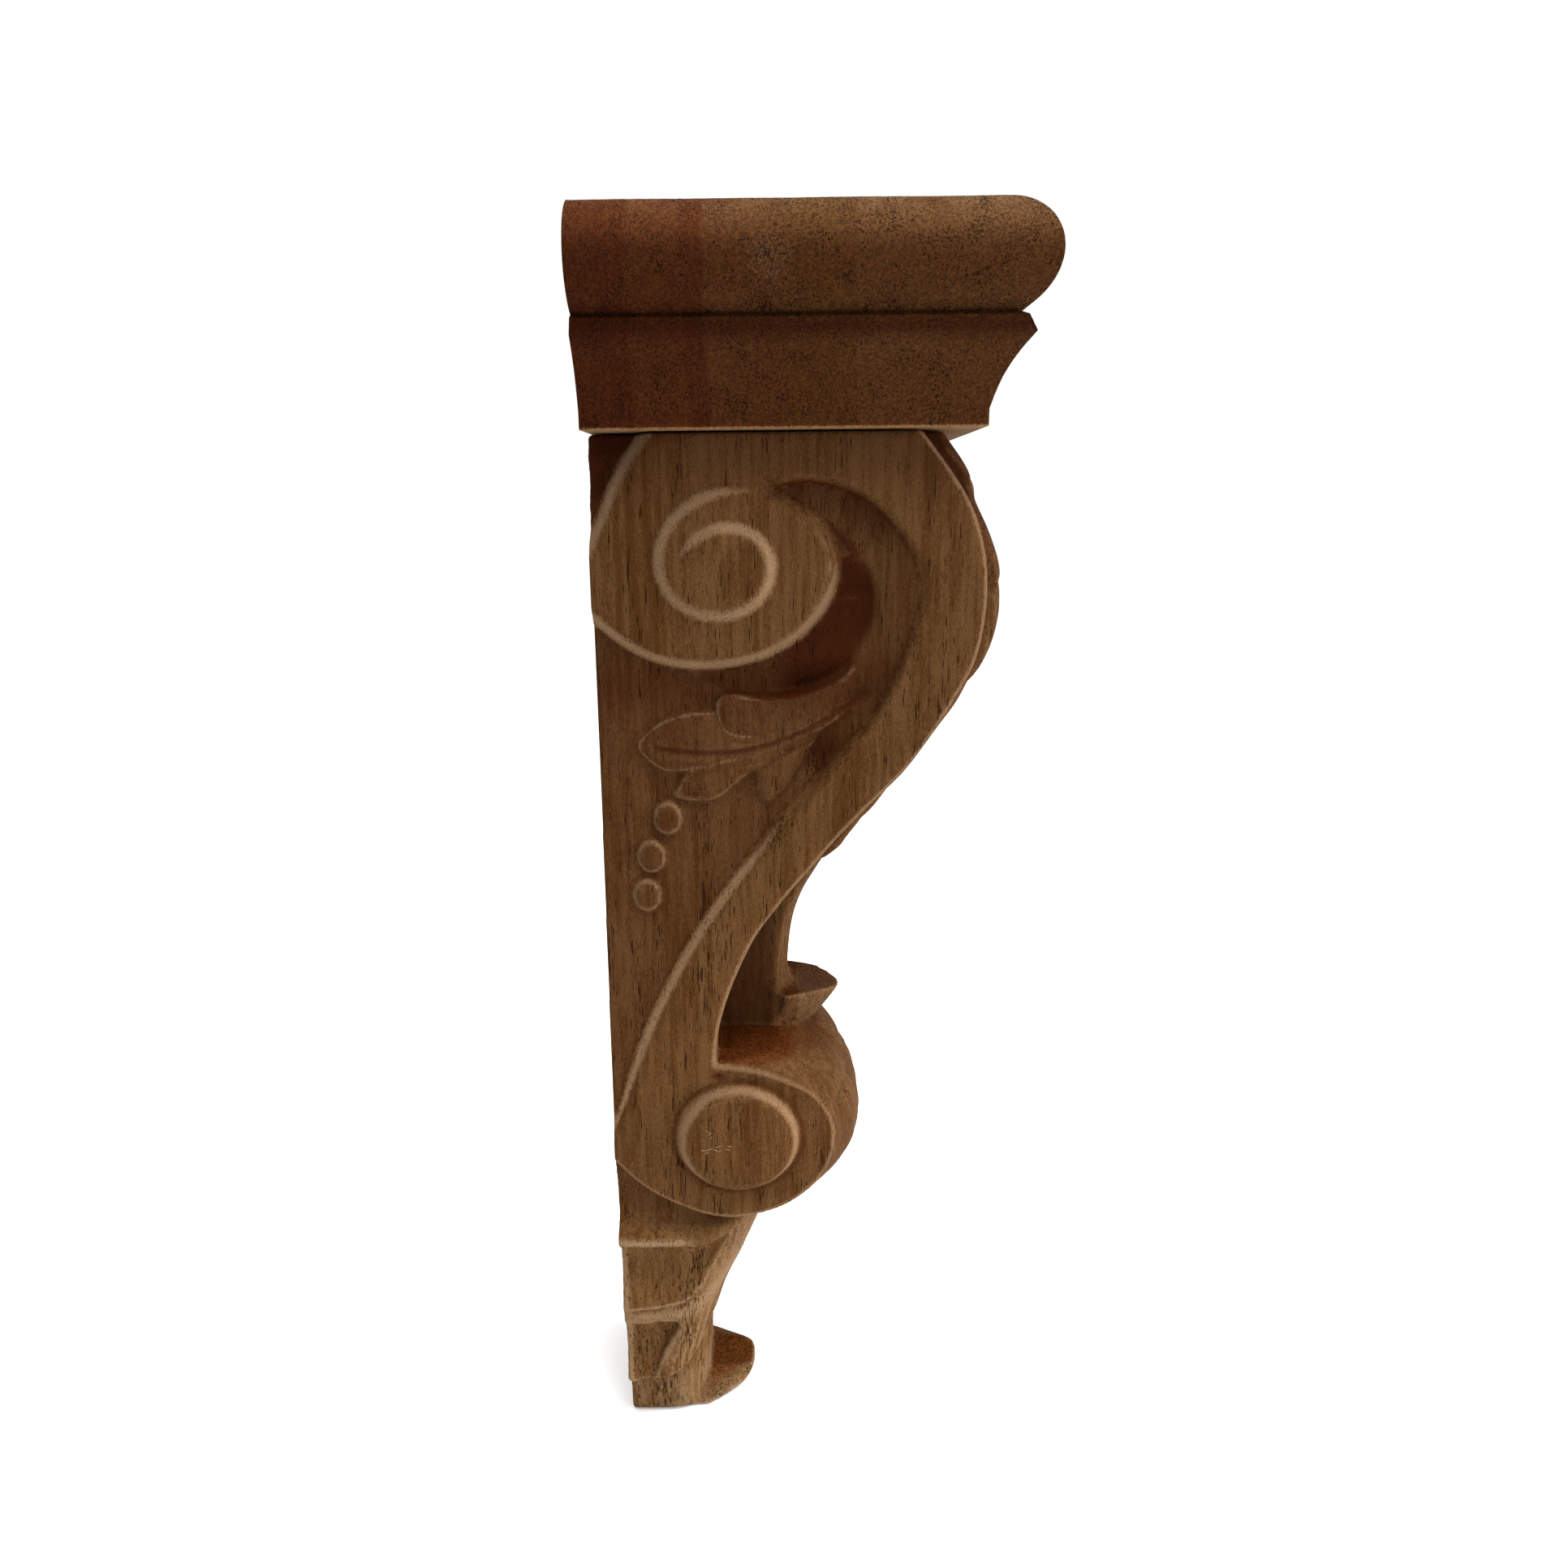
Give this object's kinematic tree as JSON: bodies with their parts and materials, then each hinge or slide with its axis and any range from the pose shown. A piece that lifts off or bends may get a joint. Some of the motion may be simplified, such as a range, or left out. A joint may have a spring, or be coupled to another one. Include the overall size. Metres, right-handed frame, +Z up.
{
  "type": "carved wood corbel",
  "caption": "Tall scrolled wooden bracket with a leaf down its front and a moulded cap board; it is fixed by its flat back and carries a shelf or mantel on its flat top.",
  "frame": {"origin": "middle of the flat back of the carved body, on the wall plane", "axes": "+Z up along the corbel's height, +Y into the wall, so the carved front looks towards -Y; X across the width, symmetric"},
  "size_m": [0.0868, 0.0839, 0.2543],
  "materials": {
    "carved_wood": "unfinished open-grained hardwood, carved and lightly sanded, vertical grain",
    "cap_wood": "unfinished hardwood moulding, darker end grain on the side returns"
  },
  "bodies": {
    "root": {"carved_body": "carved_wood", "cap_board": "cap_wood"}
  },
  "joints": []
}
